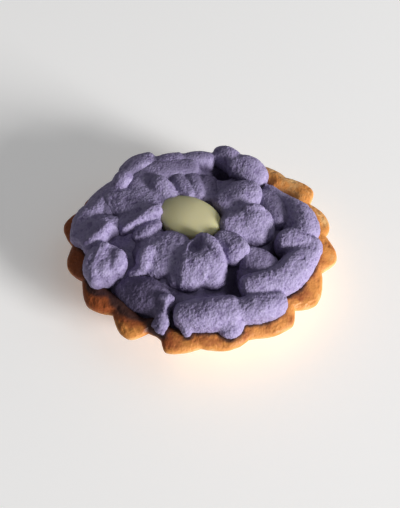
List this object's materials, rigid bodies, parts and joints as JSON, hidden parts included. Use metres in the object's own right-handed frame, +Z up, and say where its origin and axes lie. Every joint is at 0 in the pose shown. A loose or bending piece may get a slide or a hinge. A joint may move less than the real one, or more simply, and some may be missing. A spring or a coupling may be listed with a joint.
{
  "type": "cupuacu tartlet",
  "caption": "Small round tartlet: a flared, fluted pastry shell filled with lavender cream piped as a ragged flower round a smooth pale yellow-green dollop.",
  "frame": {"origin": "centre of the shell's flat base, on the surface that the tartlet stands on", "axes": "+Z up through the middle of the tartlet, -Y towards the viewer of the picture, +X to the viewer's right"},
  "size_m": [0.0805, 0.0733, 0.0245],
  "materials": {
    "crust": "Baked shortcrust, golden orange to red-brown, slightly glossy where it browned, dry and pale below the rim.",
    "cream": "Lavender piped cream, matt and grainy, with small pits, torn edges and a faint moist sparkle.",
    "dollop": "Smooth pale yellow-green filling, soft satin sheen."
  },
  "bodies": {
    "root": {"shell": "crust", "cream": "cream", "dollop": "dollop"}
  },
  "joints": []
}
